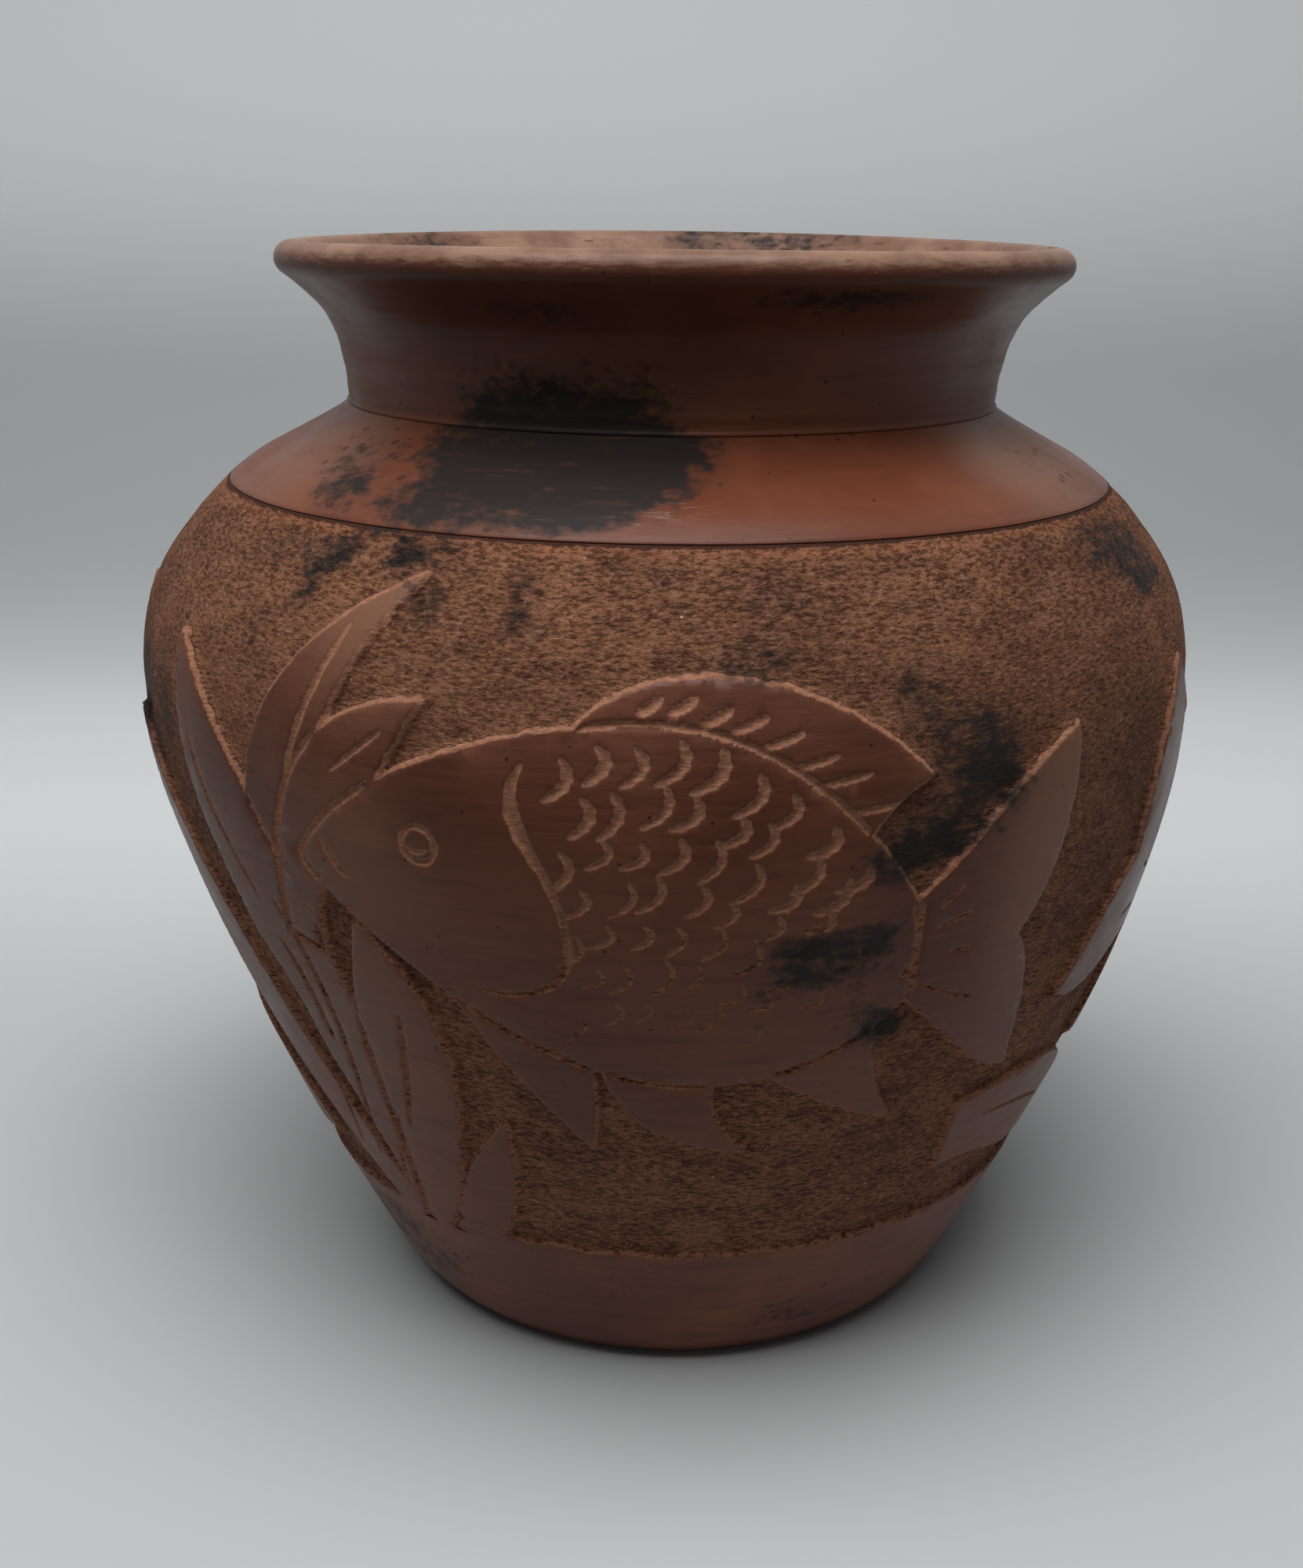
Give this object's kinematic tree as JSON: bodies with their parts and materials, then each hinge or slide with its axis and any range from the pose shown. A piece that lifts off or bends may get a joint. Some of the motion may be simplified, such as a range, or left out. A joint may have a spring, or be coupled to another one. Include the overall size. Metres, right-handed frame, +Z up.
{
  "type": "terracotta vase",
  "caption": "Round-bellied terracotta vase with a flared neck, rolled rim and burnished shoulder, carved in low relief with fish among reeds on a scraped ground.",
  "frame": {"origin": "centre of the flat sole, on the surface that the vase stands on", "axes": "+Z up along the axis of the pot; -Y towards the front, where the level fish is seen side on; +X to the right of someone who faces the front"},
  "size_m": [0.2023, 0.2024, 0.205],
  "materials": {
    "burnished_clay": "satin",
    "carved_clay": "matte",
    "worn_clay": "satin"
  },
  "bodies": {
    "root": {"base_disc": "burnished_clay", "foot_wall": "burnished_clay", "lower_wall": "carved_clay", "upper_wall": "carved_clay", "shoulder": "burnished_clay", "neck_collar": "burnished_clay", "rim_roll": "worn_clay"}
  },
  "joints": []
}
